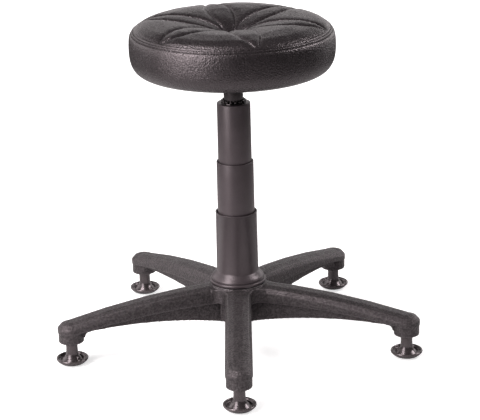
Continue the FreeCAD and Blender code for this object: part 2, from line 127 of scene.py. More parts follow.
def turned_piece(name, corners, segments, body, material):
    """Ring-shaped piece from the corners of its closed section."""
    section = rounded_section(corners)
    points = turn_section(section, segments)
    faces = grid_faces(len(section), segments, True)
    return make_piece(name, points, faces, body, material)

# %% [markdown]
# Surfaces that repeat get a node group: an effect is built once, with named sockets,
# and each material sets its own size and strength. These groups read the object's
# own coordinates, so a texture stays on its part when the part moves.

# %% Helpers for node groups and materials
def add_node(tree, kind, settings=None, **sockets):
    """Node with settings by attribute and values by socket name."""
    made = tree.nodes.new(kind)
    for key, value in (settings or {}).items():
        setattr(made, key, value)
    for key, value in sockets.items():
        made.inputs[key.replace("_", " ")].default_value = value
    return made


def new_group(name, numbers, results):
    """Shader node group with number inputs and named results, and its two ends."""
    group = bpy.data.node_groups.new(name, "ShaderNodeTree")
    for label, value in numbers.items():
        socket = group.interface.new_socket(
            name=label, in_out="INPUT", socket_type="NodeSocketFloat")
        socket.default_value = value
    for label in results:
        group.interface.new_socket(
            name=label, in_out="OUTPUT", socket_type="NodeSocketFloat")
    return group, group.nodes.new("NodeGroupInput"), group.nodes.new("NodeGroupOutput")


def place_group(tree, group, **values):
    """Group placed in a material with that material's own values."""
    made = tree.nodes.new("ShaderNodeGroup")
    made.node_tree = group
    for key, value in values.items():
        made.inputs[key.replace("_", " ")].default_value = value
    return made


def sized_texture(tree, start, kind, scale_socket, settings=None, **sockets):
    """Texture on the object's coordinates whose scale comes from a group socket."""
    coordinates = add_node(tree, "ShaderNodeTexCoord")
    texture = add_node(tree, kind, settings, **sockets)
    tree.links.new(coordinates.outputs["Object"], texture.inputs["Vector"])
    tree.links.new(start.outputs[scale_socket], texture.inputs["Scale"])
    return texture


def blend_numbers(tree, value, low_in, high_in, low_out, high_out):
    """Map a value from one range to another, clamped."""
    made = add_node(tree, "ShaderNodeMapRange", From_Min=low_in, From_Max=high_in,
                    To_Min=low_out, To_Max=high_out)
    tree.links.new(value, made.inputs["Value"])
    return made.outputs["Result"]

# %% [markdown]
# Upholstery grain is a field of soft pebbles with thin creases between them. A smooth
# Voronoi texture gives the pebbles, and a little noise bends its straight borders.

# %% The pebble grain group
pebble_grain, start, end = new_group(
    "Pebble grain", {"Pebbles per metre": 700.0}, ["Height", "Crease"])
bend = sized_texture(pebble_grain, start, "ShaderNodeTexNoise", "Pebbles per metre", Detail=2.0)
coordinates = add_node(pebble_grain, "ShaderNodeTexCoord")
shift = add_node(pebble_grain, "ShaderNodeVectorMath", {"operation": "MULTIPLY_ADD"})
BORDER_BEND = 0.0012
shift.inputs[1].default_value = (BORDER_BEND,) * 3
pebbles = add_node(pebble_grain, "ShaderNodeTexVoronoi", {"feature": "SMOOTH_F1"},
                   Smoothness=0.35)
crease = add_node(pebble_grain, "ShaderNodeMapRange", From_Min=0.35, From_Max=0.75)
lift = add_node(pebble_grain, "ShaderNodeMath", {"operation": "SUBTRACT"})
lift.inputs[0].default_value = 1.0
pebble_grain.links.new(bend.outputs["Color"], shift.inputs[0])
pebble_grain.links.new(coordinates.outputs["Object"], shift.inputs[2])
pebble_grain.links.new(shift.outputs["Vector"], pebbles.inputs["Vector"])
pebble_grain.links.new(start.outputs["Pebbles per metre"], pebbles.inputs["Scale"])
pebble_grain.links.new(pebbles.outputs["Distance"], crease.inputs["Value"])
pebble_grain.links.new(pebbles.outputs["Distance"], lift.inputs[1])
pebble_grain.links.new(lift.outputs["Value"], end.inputs["Height"])
pebble_grain.links.new(crease.outputs["Result"], end.inputs["Crease"])
print("group ready:", pebble_grain.name)

# %% [markdown]
# Moulded plastic and powder coat share one look: a fine, even roughness with larger,
# fainter clouds in it. Two noise textures of different size make it. The fine one is
# height and speckle, and the large one varies tone and gloss.

# %% The fine texture group
fine_texture, start, end = new_group(
    "Fine texture", {"Grains per metre": 900.0, "Clouds per metre": 40.0},
    ["Height", "Clouds", "Speckle"])
grains = sized_texture(fine_texture, start, "ShaderNodeTexNoise", "Grains per metre",
                       Detail=3.0, Roughness=0.6)
clouds = sized_texture(fine_texture, start, "ShaderNodeTexNoise", "Clouds per metre",
                       Detail=4.0, Roughness=0.55)
spread = add_node(fine_texture, "ShaderNodeMapRange", From_Min=0.3, From_Max=0.7)
fine_texture.links.new(clouds.outputs["Fac"], spread.inputs["Value"])
fine_texture.links.new(grains.outputs["Fac"], end.inputs["Height"])
fine_texture.links.new(spread.outputs["Result"], end.inputs["Clouds"])
speckle = add_node(fine_texture, "ShaderNodeMapRange", From_Min=0.4, From_Max=0.6)
fine_texture.links.new(grains.outputs["Fac"], speckle.inputs["Value"])
fine_texture.links.new(speckle.outputs["Result"], end.inputs["Speckle"])
print("group ready:", fine_texture.name)

# %% [markdown]
# Hands, shoes and mops polish the outer edges of a stool, and these edges are painted
# lighter, partly as that wear and partly as a painted highlight. Inner corners are painted
# darker as painted shade. Pointiness is high where a mesh bends outwards, and noise breaks
# its lines up. The occlusion node measures how much of the sky a spot sees, which finds corners.

# %% The edge wear and painted light group
edge_wear_and_painted_light, start, end = new_group(
    "Edge wear and painted light", {"Patches per metre": 60.0}, ["Mask", "Corner"])
geometry = add_node(edge_wear_and_painted_light, "ShaderNodeNewGeometry")
patches = sized_texture(edge_wear_and_painted_light, start, "ShaderNodeTexNoise", "Patches per metre",
                        Detail=3.0)
# Outer edges: partly wear, partly a painted highlight along the rounded edges.
edge = blend_numbers(edge_wear_and_painted_light, geometry.outputs["Pointiness"], 0.505, 0.56, 0, 1)
# Inner corners and the hollows under the arms' caps: painted shade.
shelter = add_node(edge_wear_and_painted_light, "ShaderNodeAmbientOcclusion", {"samples": 6}, Distance=0.03)
corner = blend_numbers(edge_wear_and_painted_light, shelter.outputs["AO"], 0.85, 0.25, 0, 1)
broken = add_node(edge_wear_and_painted_light, "ShaderNodeMath", {"operation": "MULTIPLY"})
edge_wear_and_painted_light.links.new(edge, broken.inputs[0])
edge_wear_and_painted_light.links.new(patches.outputs["Fac"], broken.inputs[1])
edge_wear_and_painted_light.links.new(broken.outputs["Value"], end.inputs["Mask"])
edge_wear_and_painted_light.links.new(corner, end.inputs["Corner"])
print("group ready:", edge_wear_and_painted_light.name)

# %% [markdown]
# Every finish below is one Principled shader. What is the same all over is set on its
# sockets, and the groups only vary colour, roughness and bump. Plastic and paint throw
# back a slightly pink light here, which the specular tint gives.

# %% Helpers for finishes
SHEEN_TINT = (1.0, 0.885, 0.93, 1.0)
# Edges are painted lighter, partly wear and partly a painted highlight, and inner corners darker as
# painted shade.
EDGE_WEAR_AND_HIGHLIGHT = 2.5
CORNER_PAINTED_SHADE = -1.2


def new_finish(name, metallic=0.0, **sockets):
    """Material with one Principled shader, its node tree and the shader."""
    material = bpy.data.materials.new(name)
    material.use_nodes = True
    shader = material.node_tree.nodes["Principled BSDF"]
    shader.inputs["Metallic"].default_value = metallic
    if not metallic:
        shader.inputs["Specular Tint"].default_value = SHEEN_TINT
    for key, value in sockets.items():
        shader.inputs[key.replace("_", " ")].default_value = value
    return material, material.node_tree, shader


def vary_colour(tree, shader, factor, low, high):
    """Base colour between two colours by a factor."""
    mix = add_node(tree, "ShaderNodeMix", {"data_type": "RGBA"})
    sockets = [s for s in mix.inputs if s.name in ("A", "B") and s.type == "RGBA"]
    sockets[0].default_value = (*low, 1.0)
    sockets[1].default_value = (*high, 1.0)
    tree.links.new(factor, mix.inputs["Factor"])
    result = next(s for s in mix.outputs if s.type == "RGBA")
    tree.links.new(result, shader.inputs["Base Color"])


def add_bump(tree, shader, height, depth, strength=1.0):
    """Bump of a given depth in metres."""
    bump = add_node(tree, "ShaderNodeBump", Strength=strength, Distance=depth)
    tree.links.new(height, bump.inputs["Height"])
    tree.links.new(bump.outputs["Normal"], shader.inputs["Normal"])


def textured_finish(name, low, high, rough, grains, depth, clouds=40.0, speckle=0.3,
                    worn=0.0, metallic=0.0, **sockets):
    """Finish whose colour and gloss drift with clouds and speckle, with a fine bump."""
    material, tree, shader = new_finish(name, metallic, **sockets)
    texture = place_group(tree, fine_texture, Grains_per_metre=grains,
                          Clouds_per_metre=clouds)
    tone = add_node(tree, "ShaderNodeMix", {"data_type": "FLOAT"}, Factor=speckle)
    tree.links.new(texture.outputs["Clouds"], tone.inputs["A"])
    tree.links.new(texture.outputs["Speckle"], tone.inputs["B"])
    factor = tone.outputs["Result"]
    # Paints edges lighter, partly wear and partly a painted highlight, and paints shade into inner
    # corners.
    if worn:
        edge_and_corner_paint = place_group(tree, edge_wear_and_painted_light)
        for mask, amount in (("Mask", EDGE_WEAR_AND_HIGHLIGHT * worn), ("Corner", CORNER_PAINTED_SHADE * worn)):
            shade = add_node(tree, "ShaderNodeMath", {"operation": "MULTIPLY_ADD"})
            shade.inputs[1].default_value = amount
            tree.links.new(edge_and_corner_paint.outputs[mask], shade.inputs[0])
            tree.links.new(factor, shade.inputs[2])
            factor = shade.outputs["Value"]
    vary_colour(tree, shader, factor, low, high)
    tree.links.new(blend_numbers(tree, factor, 0, 1, *rough), shader.inputs["Roughness"])
    add_bump(tree, shader, texture.outputs["Height"], depth)
    return material

# %% [markdown]
# The seat is covered in dark grained upholstery. It is almost black, so its look comes
# from the sheen on the grain: creases are duller and darker than the pebbles' tops.

# %% Upholstery and thread
seat_vinyl, tree, shader = new_finish("seat_vinyl", Specular_IOR_Level=0.75)
grain = place_group(tree, pebble_grain, Pebbles_per_metre=430.0)
drift = place_group(tree, fine_texture, Grains_per_metre=300.0, Clouds_per_metre=22.0)
vary_colour(tree, shader, drift.outputs["Clouds"],
            (0.008, 0.0065, 0.007), (0.015, 0.0125, 0.0135))
dull = add_node(tree, "ShaderNodeMath", {"operation": "MULTIPLY_ADD"})
dull.inputs[1].default_value = 0.12
tree.links.new(grain.outputs["Crease"], dull.inputs[0])
tree.links.new(blend_numbers(tree, drift.outputs["Speckle"], 0, 1, 0.23, 0.31), dull.inputs[2])
tree.links.new(dull.outputs["Value"], shader.inputs["Roughness"])
add_bump(tree, shader, grain.outputs["Height"], 0.0006, 0.9)

thread = textured_finish("thread", (0.004, 0.0035, 0.0035), (0.012, 0.010, 0.010),
                         (0.7, 0.85), 3000.0, 0.0001)

# %% [markdown]
# The base is moulded in glass-filled nylon with a spark-eroded texture, the cover in
# smoother satin plastic, and the glides and the crown ring in a glossier one.

# %% Plastics
def make_finishes(rows):
    """Materials by name from rows of colours, roughness, grains, bump and the rest."""
    made = {}
    for name, low, high, rough, grains, depth, rest in rows:
        made[name] = textured_finish(name, low, high, rough, grains, depth, **rest)
    print("finishes:", ", ".join(made))
    return made


finishes = make_finishes([
    # The base, cover and glides also get the painted edge highlight and painted corner shade.
    ("base_nylon", (0.005, 0.0044, 0.0046), (0.048, 0.043, 0.0445), (0.48, 0.3), 340.0, 0.0014,
     {"clouds": 60.0, "speckle": 0.8, "worn": 0.6, "Specular_IOR_Level": 0.5}),
    ("cover_plastic", (0.028, 0.0225, 0.0245), (0.041, 0.0335, 0.0365), (0.3, 0.38), 700.0, 0.00015,
     {"clouds": 30.0, "speckle": 0.4, "worn": 0.3, "Specular_IOR_Level": 0.6}),
    ("glide_plastic", (0.018, 0.015, 0.0155), (0.052, 0.045, 0.046), (0.26, 0.16), 700.0, 0.0001,
     {"clouds": 80.0, "speckle": 0.4, "worn": 0.8, "Specular_IOR_Level": 0.8}),
    ("crown_plastic", (0.003, 0.003, 0.003), (0.008, 0.007, 0.007),
     (0.08, 0.16), 900.0, 0.00004, {}),
    ("paddle_plastic", (0.015, 0.014, 0.015), (0.026, 0.024, 0.025),
     (0.38, 0.5), 1200.0, 0.00015, {}),
    ("bush_plastic", (0.6, 0.57, 0.5), (0.7, 0.67, 0.6), (0.35, 0.45), 900.0, 0.0001, {}),
    ("stop_rubber", (0.02, 0.02, 0.02), (0.035, 0.035, 0.035), (0.7, 0.85), 700.0, 0.0002, {}),
])

# %% [markdown]
# Steel comes painted, powder-coated, zinc-plated and chromed. Paint has a slight
# orange-peel bump under a clear gloss, and plating is bare metal with dull clouds.

# %% Metals
PLATED = {"metallic": 1.0}
finishes.update(make_finishes([
    ("tube_black", (0.003, 0.003, 0.003), (0.008, 0.007, 0.007), (0.13, 0.2), 500.0, 0.00001,
     {"clouds": 50.0, "Specular_IOR_Level": 0.8}),
    ("column_steel", (0.015, 0.014, 0.014), (0.025, 0.023, 0.023),
     (0.25, 0.35), 500.0, 0.00005, {}),
    ("plate_steel", (0.014, 0.013, 0.013), (0.026, 0.024, 0.024), (0.4, 0.52), 1400.0, 0.0002, {}),
    ("lever_steel", (0.014, 0.013, 0.013), (0.024, 0.022, 0.022), (0.28, 0.4), 700.0, 0.00006, {}),
    ("zinc", (0.55, 0.55, 0.54), (0.72, 0.72, 0.7), (0.28, 0.45), 1800.0, 0.00004,
     {"clouds": 120.0, **PLATED}),
    ("ground_steel", (0.5, 0.5, 0.5), (0.62, 0.62, 0.62), (0.2, 0.32), 2500.0, 0.00002, PLATED),
    ("chrome", (0.75, 0.75, 0.76), (0.85, 0.85, 0.86), (0.05, 0.1), 900.0, 0.00001, PLATED),
]))

# %% [markdown]
# Under the seat there is raw plywood, foam and a thin black non-woven cloth. The
# plywood shows its layers at the edge, so its colour bands follow the height.

# %% Board, foam and cloth
board_plywood, tree, shader = new_finish("board_plywood", Roughness=0.7)
coordinates = add_node(tree, "ShaderNodeTexCoord")
stretch = add_node(tree, "ShaderNodeMapping", Scale=(6.0, 60.0, 420.0))
figure = add_node(tree, "ShaderNodeTexNoise", Scale=4.0, Detail=5.0, Distortion=0.6)
tree.links.new(coordinates.outputs["Object"], stretch.inputs["Vector"])
tree.links.new(stretch.outputs["Vector"], figure.inputs["Vector"])
vary_colour(tree, shader, figure.outputs["Fac"], (0.38, 0.24, 0.12), (0.66, 0.5, 0.3))
add_bump(tree, shader, figure.outputs["Fac"], 0.0003)
finishes["board_plywood"] = board_plywood
finishes.update(make_finishes([
    ("foam", (0.62, 0.55, 0.34), (0.76, 0.7, 0.5), (0.9, 1.0), 900.0, 0.0006, {}),
    ("dust_cloth", (0.012, 0.012, 0.012), (0.03, 0.03, 0.03), (0.85, 0.95), 2200.0, 0.0004,
     {"clouds": 300.0}),
]))

# %% Finishes for the parts that keep their own mesh
kept = {
    "column_tube": "column_steel", "column_bush": "bush_plastic", "thrust_bearing": "ground_steel",
    "piston_rod": "chrome", "bump_stop": "stop_rubber", "pressure_tube": "tube_black",
    "release_button": "ground_steel", "seat_plate": "plate_steel", "plate_screws": "zinc",
    "lever_pin": "zinc", "lever_rod": "lever_steel", "seat_board": "board_plywood",
    "foam_pad": "foam", "dust_cloth": "dust_cloth", "glide_stems": "zinc",
    "lever_paddle": "paddle_plastic",
}
for part, finish in kept.items():
    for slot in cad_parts[part].material_slots:
        slot.material = finishes[finish]
print("parts that keep their mesh:", len(kept))

# %% [markdown]
# The seat's top is sewn from a rosette of six leaves. Each seam is an arc from the
# centre to the rim, and foam pushes the panels up between the seams. The top is a
# height field over rings: the columns of the grid run along the seams, so every
# valley lies exactly on an edge of the mesh and stays crisp.

# %% The seat's sizes and its seam rosette
RIM = 156.2
LEAVES = 6
LEAF_TURN = 44.4
LEAF_HALF_ANGLE = 28.0
LEAF_END = 151.0
SOFT_ROLL = 4.2
ROLL_POWER = 0.8
ACROSS_LEAF, ACROSS_GAP = 12, 30


def leaf_half_width(radius):
    """Half angle of a leaf at a radius: its seams are arcs through the centre."""
    share = math.sin(math.radians(LEAF_HALF_ANGLE)) * min(radius, LEAF_END) / RIM
    return math.radians(LEAF_HALF_ANGLE) - math.asin(share)


def eased(count, sharp=0.72):
    """Shares from 0 to 1 that crowd towards both ends."""
    t = np.linspace(0, 1, count, endpoint=False)
    return (1 - sharp) * t + sharp * (0.5 - 0.5 * np.cos(math.pi * t))


def column_angles(radius):
    """Directions of the grid's columns at a radius, with a column on every seam."""
    half = leaf_half_width(radius)
    gap = 2 * math.pi / LEAVES - 2 * half
    angles = []
    for leaf in range(LEAVES):
        middle = math.radians(LEAF_TURN) + leaf * 2 * math.pi / LEAVES
        angles.extend(middle - half + 2 * half * eased(ACROSS_LEAF))
        angles.extend(middle + half + gap * eased(ACROSS_GAP))
    return np.array(angles)


SEAM_BEND = RIM / (2 * math.sin(math.radians(LEAF_HALF_ANGLE)))
COLUMNS = len(column_angles(50.0))
SEAM_COLUMNS = [column for column in range(COLUMNS)
                if column % (ACROSS_LEAF + ACROSS_GAP) in (0, ACROSS_LEAF)]
print("columns round the seat:", COLUMNS)

# %% The height of the top
WRONG_SIDE = 40.0


def seam_distances(x, y):
    """Distance to each of the twelve seams, which are circles through the centre.

    The half of a circle that lies behind the centre is no seam, so points there
    count as far away.
    """
    found = []
    for leaf in range(LEAVES):
        middle = math.radians(LEAF_TURN) + leaf * 2 * math.pi / LEAVES
        for side in (-1, 1):
            heading = middle + side * math.radians(LEAF_HALF_ANGLE)
            normal = heading - side * math.pi / 2
            cx, cy = SEAM_BEND * math.cos(normal), SEAM_BEND * math.sin(normal)
            away = np.abs(np.hypot(x - cx, y - cy) - SEAM_BEND)
            ahead = x * math.cos(heading) + y * math.sin(heading)
            found.append(np.where(ahead > 0, away, np.hypot(x, y) + WRONG_SIDE))
    return found


VALLEY = np.array([(0, 508.0), (6, 510.5), (12, 514.5), (20, 520.0), (30, 524.5), (45, 529.0),
                   (60, 532.0), (85, 535.8), (110, 536.8), (135, 534.0), (148, 530.4),
                   (153, 528.6), (RIM, 526.4)])
PUFF = np.array([(0, 0), (8, 1.0), (30, 4.2), (60, 5.4), (100, 5.2), (135, 4.6), (148, 3.0),
                 (RIM, 0)])


def valley_height(r):
    """Height of the seams' line above the floor at a radius."""
    return np.interp(r, VALLEY[:, 0], VALLEY[:, 1])


def top_height(x, y, share=1.0):
    """Height of the upholstered top, with a share of the panels' full puff."""
    r = np.hypot(x, y)
    puff = np.interp(r, PUFF[:, 0], PUFF[:, 1])
    raised = np.ones_like(r)
    for away in seam_distances(x, y):
        raised = raised * (1 - np.exp(-(away + 0.05) / SOFT_ROLL))
    return valley_height(r) + share * puff * raised ** ROLL_POWER

# %% [markdown]
# Below the rim the cover goes over the edge through a double topstitched seam, down
# the tall band and under the board. That part is the same all round, so it is a
# list of radius and height pairs, drawn through with a smooth curve.

# %% The band below the rim
def smooth_through(points, count):
    """Points evenly along a smooth curve through the given ones."""
    p = np.array(points, float)
    reach = np.concatenate([[0], np.cumsum(np.linalg.norm(np.diff(p, axis=0), axis=1))])
    slope = np.gradient(p, reach, axis=0)
    t = np.linspace(0, reach[-1], count)
    k = np.clip(np.searchsorted(reach, t, side="right") - 1, 0, len(p) - 2)
    h = (reach[k + 1] - reach[k])[:, None]
    u = ((t - reach[k])[:, None]) / h
    return ((2 * u ** 3 - 3 * u ** 2 + 1) * p[k] + (u ** 3 - 2 * u ** 2 + u) * h * slope[k]
            + (-2 * u ** 3 + 3 * u ** 2) * p[k + 1] + (u ** 3 - u ** 2) * h * slope[k + 1])


SEAM_HIGH = (155.5, 525.7)
SEAM_LOW = (158.4, 522.5)
BAND_ROWS = 100
band = smooth_through([
    (153.2, 528.9), (154.5, 528.4), (155.3, 527.4), SEAM_HIGH, (156.7, 526.2), (158.0, 525.6),
    (158.7, 524.4), SEAM_LOW, (159.9, 522.4), (161.2, 520.4), (162.4, 516.0), (163.3, 508.0),
    (163.5, 500.0), (163.2, 490.0), (162.0, 481.0), (159.2, 472.6), (154.6, 465.6),
    (147.6, 460.8), (139.0, 458.4), (128.0, 458.0), (118.0, 458.0)], BAND_ROWS)
under = [(118.0, 458.5), (118.0, 459.6), (126.0, 459.7), (137.0, 459.7)]
print("rows down the band:", len(band))

# %% [markdown]
# The two fields become one skin, sewn a little flatter than it ends up. A cloth
# simulation then stuffs it: the seams, the tuft and the rim are held, and pressure
# from the foam raises the panels until the cover is tight. The result is kept as a
# plain mesh.

# %% Sew and stuff the cover
top_rows = np.concatenate([np.linspace(2.0, 40.0, 15), np.linspace(43.0, 151.0, 40)])


def build_cushion(share):
    """Points and faces of the cushion from its centre out, down and under."""
    rows = []
    for radius in top_rows:
        angles = column_angles(radius)
        x, y = radius * np.cos(angles), radius * np.sin(angles)
        rows.append(np.stack([x, y, top_height(x, y, share)], axis=1))
    angles = column_angles(RIM)
    ripple = 0.25 * np.sin(angles * 5 + 0.6) + 0.2 * np.sin(angles * 11 + 2.0)
    for r, z in list(band) + under:
        fade = np.clip((521.0 - z) / 12.0, 0, 1) * np.clip((z - 461.0) / 12.0, 0, 1)
        wavy = r + ripple * fade
        level = np.full(len(angles), z)
        rows.append(np.stack([wavy * np.cos(angles), wavy * np.sin(angles), level], axis=1))
    points = np.concatenate(rows + [np.array([[0.0, 0.0, valley_height(0.0)]])])
    faces = grid_faces(len(rows), COLUMNS)
    tip = len(points) - 1
    faces += [(tip, (j + 1) % COLUMNS, j) for j in range(COLUMNS)]
    return points, faces


HELD_ROWS = 2


def stuff(points, pressure, frames):
    """Blow the panels up with a cloth simulation of the top and give its points back."""
    rows = len(top_rows)
    top = np.concatenate([points[:(rows + 1) * COLUMNS], points[-1:]])
    faces = grid_faces(rows + 1, COLUMNS)
    faces += [(len(top) - 1, (j + 1) % COLUMNS, j) for j in range(COLUMNS)]
    piece = make_piece("flat_cover", top, faces, "seat")
    held = piece.vertex_groups.new(name="held")
    fixed = [row * COLUMNS + column for row in range(HELD_ROWS, rows) for column in SEAM_COLUMNS]
    fixed += list(range(HELD_ROWS * COLUMNS)) + list(range(rows * COLUMNS, len(top)))
    held.add(fixed, 1.0, "REPLACE")
    cloth = piece.modifiers.new("stuffing", "CLOTH")
    rules = cloth.settings
    rules.quality = 5
    rules.mass = 0.3
    rules.tension_stiffness = rules.compression_stiffness = 25
    rules.shear_stiffness = 15
    rules.bending_stiffness = 20
    rules.tension_damping = rules.compression_damping = rules.shear_damping = 15
    rules.use_pressure = True
    rules.uniform_pressure_force = pressure
    rules.effector_weights.gravity = 0.0
    rules.vertex_group_mass = held.name
    cloth.collision_settings.use_collision = False
    cloth.point_cache.frame_start = 1
    cloth.point_cache.frame_end = frames
    for moment in range(1, frames + 1):
        bpy.context.scene.frame_set(moment)
    graph = bpy.context.evaluated_depsgraph_get()
    settled = bpy.data.meshes.new_from_object(piece.evaluated_get(graph))
    places = np.empty(len(top) * 3)
    settled.vertices.foreach_get("co", places)
    bpy.context.scene.frame_set(1)
    bpy.data.objects.remove(piece)
    stuffed = points.copy()
    stuffed[:rows * COLUMNS] = places.reshape(-1, 3)[:rows * COLUMNS] / MM
    return stuffed


SEWN_SHARE = 0.93
points, faces = build_cushion(SEWN_SHARE)
stuffed = stuff(points, pressure=4.0, frames=10)
lift = float((stuffed - points)[:, 2].max())
print("the foam raised the panels by up to", round(lift, 1), "mm")
points = stuffed

# %% [markdown]
# Thread pulls small gathers into the cover along every seam. They are shallow waves
# across the seam that die out within a centimetre, and the foam adds slow lumps.

# %% Gathers, lumps and the finished cushion
GATHER_DEPTH, GATHER_PITCH, GATHER_REACH = 0.55, 8.3, 5.0
RIM_GATHER_DEPTH, RIM_GATHER_COUNT, RIM_GATHER_RADIUS = 0.22, 118, 151.5
SEAM_CREASE = 0.7


def gathers(points):
    """Small waves along the rosette's seams and the rim seam, in millimetres."""
    x, y = points[:, 0], points[:, 1]
    r, turn = np.hypot(x, y), np.arctan2(y, x)
    wave = np.zeros(len(points))
    for index, away in enumerate(seam_distances(x, y)):
        close = np.exp(-away / GATHER_REACH) * (1 - np.exp(-away / 1.2))
        phase = 2 * math.pi * r / GATHER_PITCH + 1.7 * index + 0.8 * np.sin(r / 9.0)
        wave += GATHER_DEPTH * close * np.sin(phase)
    wave *= np.clip((r - 10) / 25, 0, 1) * np.clip((152 - r) / 12, 0, 1)
    rim = np.exp(-((r - RIM_GATHER_RADIUS) / 4.0) ** 2)
    wave += RIM_GATHER_DEPTH * rim * np.sin(turn * RIM_GATHER_COUNT + 1.4 * np.sin(turn * 9))
    lumps = 0.35 * np.sin(x / 23.0 + 1.3) * np.cos(y / 19.0 + 0.4) + 0.2 * np.sin((x + y) / 11.0)
    return wave + lumps * np.clip(r / 60, 0, 1) * np.clip((RIM - r) / 20, 0, 1)


top_count = len(top_rows) * COLUMNS
points[:top_count, 2] += gathers(points[:top_count])
cushion = make_piece("seat_cushion", points, faces, "seat", seat_vinyl)
seam_edges = {(row * COLUMNS + column, (row + 1) * COLUMNS + column)
              for row in range(1, len(top_rows)) for column in SEAM_COLUMNS}
sharp = cushion.data.attributes.new("crease_edge", "FLOAT", "EDGE")
for edge in cushion.data.edges:
    if tuple(sorted(edge.vertices)) in seam_edges:
        sharp.data[edge.index].value = SEAM_CREASE
finer = cushion.modifiers.new("finer", "SUBSURF")
finer.levels = finer.render_levels = 1
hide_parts("seat_cover")
print("cushion faces:", len(cushion.data.polygons))

# %% [markdown]
# Each topstitch is a short bead of thread that dips into the cover at both ends. Two
# rows run round the rim. One bead is a small swept tube, copied along both rings.

# %% Topstitching round the rim
BEAD_STEPS, BEAD_SIDES = 4, 5


def stitch_row(radius, height, pitch=4.6, length=3.0, thick=0.75):
    """Beads of thread along a ring."""
    count = int(2 * math.pi * radius / pitch)
    points, faces = [], []
    for index in range(count):
        first = len(points)
        for step in range(BEAD_STEPS + 1):
            t = step / BEAD_STEPS
            angle = 2 * math.pi * (index + t * length / pitch) / count
            sink = -0.5 + 0.6 * math.sin(math.pi * t)
            out = np.array([math.cos(angle), math.sin(angle), 0.62])
            out /= np.linalg.norm(out)
            up = np.array([-math.cos(angle) * 0.53, -math.sin(angle) * 0.53, 0.85])
            middle = np.array([radius * math.cos(angle), radius * math.sin(angle), height])
            middle += out * sink
            for corner in range(BEAD_SIDES):
                way = 2 * math.pi * corner / BEAD_SIDES
                points.append(middle + thick * (math.cos(way) * out + math.sin(way) * up))
        for step in range(BEAD_STEPS):
            ring = first + step * BEAD_SIDES
            for corner in range(BEAD_SIDES):
                a, b = ring + corner, ring + (corner + 1) % BEAD_SIDES
                faces.append((a, b, b + BEAD_SIDES, a + BEAD_SIDES))
        faces.append(tuple(first + k for k in range(BEAD_SIDES)))
        faces.append(tuple(first + BEAD_STEPS * BEAD_SIDES + k for k in range(BEAD_SIDES)))
    return points, faces


for label, (radius, height) in (("upper", SEAM_HIGH), ("lower", SEAM_LOW)):
    points, faces = stitch_row(radius, height)
    make_piece("stitches_" + label, points, faces, "seat", thread)
    print("stitch row", label, len(faces))

# %% [markdown]
# The telescopic cover is three thin tubes. They are turned with a slight taper, as
# moulded tubes have, and with rounded lips. The lowest stands on a domed foot with a
# small step and a rolled edge.

# %% Telescopic cover
COVER_PARTS = 128
low, high = (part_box("cover_lower")[k][2] / MM for k in (0, 1))
lower = turned_piece("cover_stage_lower", [
    (30.7, low, 0.4), (43.4, low, 0.5), (45.6, low + 1.4, 1.4), (45.6, low + 4.8, 1.8),
    (43.6, low + 6.0, 0.8), (42.2, low + 5.8, 0.4), (42.2, low + 7.0, 0.4),
    (43.3, low + 7.6, 0.8), (41.9, low + 11.0, 3.0), (38.5, low + 15.1, 3.0),
    (34.7, low + 18.4, 0.8), (34.0, low + 19.6, 0.6), (33.5, high - 1.2, 0),
    (33.9, high - 0.9, 0.3), (33.9, high, 0.5), (32.0, high, 0.3), (31.6, high - 3.0, 0.3),
    (30.7, high - 6.0, 0.3)], COVER_PARTS, "base", finishes["cover_plastic"])
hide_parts("cover_lower")
low, high = (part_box("cover_middle")[k][2] / MM for k in (0, 1))
middle = turned_piece("cover_stage_middle", [
    (27.9, low, 0.3), (30.2, low, 0.4), (29.8, high, 0.5), (28.5, high, 0.3),
    (28.1, high - 3.0, 0.3), (27.7, high - 6.0, 0.3)],
    COVER_PARTS, "cover_slider", finishes["cover_plastic"])
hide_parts("cover_middle")
low, high = (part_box("cover_upper")[k][2] / MM for k in (0, 1))
upper = turned_piece("cover_stage_upper", [
    (25.6, low, 0.3), (27.2, low, 0.4), (26.8, high, 0.7), (14.1, high, 0.2),
    (14.1, high - 2.0, 0.2), (25.4, high - 2.0, 0.3)],
    COVER_PARTS, "seat", finishes["cover_plastic"])
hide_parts("cover_upper")
print("the cover's top stands at", round(high, 1), "mm")

# %% [markdown]
# A black castellated ring closes the top of the cover, and a short sleeve stands on it
# round the tube. Each tooth is a block with a little taper, bent round the ring.

# %% Crown ring and tube sleeve
TEETH, TOOTH_CORNERS = 16, 5
RING_PARTS = 96
SLEEVE_HEIGHT = 39.0
foot, tip = high - 0.5, high + 5.0
section = rounded_section([
    (15.8, foot, 0.2), (20.4, foot, 0.3), (20.2, foot + 2.2, 0.4), (16.0, foot + 2.2, 0.4)])
points = list(turn_section(section, RING_PARTS))
faces = grid_faces(len(section), RING_PARTS, True)
tooth_levels = ((foot + 1.5, 16.2, 20.2, 0.125), (tip - 0.8, 16.4, 20.0, 0.115),
                (tip, 17.0, 19.4, 0.085))
for tooth in range(TEETH):
    first = len(points)
    for z, inner, outer, half in tooth_levels:
        for r, side in ((inner, -1), (inner, 1), (outer, 1), (outer, 0), (outer, -1)):
            angle = 2 * math.pi * (tooth + 0.5) / TEETH + side * half
            points.append(np.array([r * math.cos(angle), r * math.sin(angle), z]))
    for level in range(len(tooth_levels) - 1):
        ring = first + level * TOOTH_CORNERS
        for corner in range(TOOTH_CORNERS):
            a, b = ring + corner, ring + (corner + 1) % TOOTH_CORNERS
            faces.append((a, b, b + TOOTH_CORNERS, a + TOOTH_CORNERS))
    faces += [tuple(first + k for k in range(TOOTH_CORNERS)),
              tuple(ring + TOOTH_CORNERS + k for k in range(TOOTH_CORNERS))]
crown = make_piece("crown_ring_teeth", points, faces, "seat",
                   finishes["crown_plastic"])
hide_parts("crown_ring")
sleeve_foot = high - 0.4
sleeve_top = sleeve_foot + SLEEVE_HEIGHT
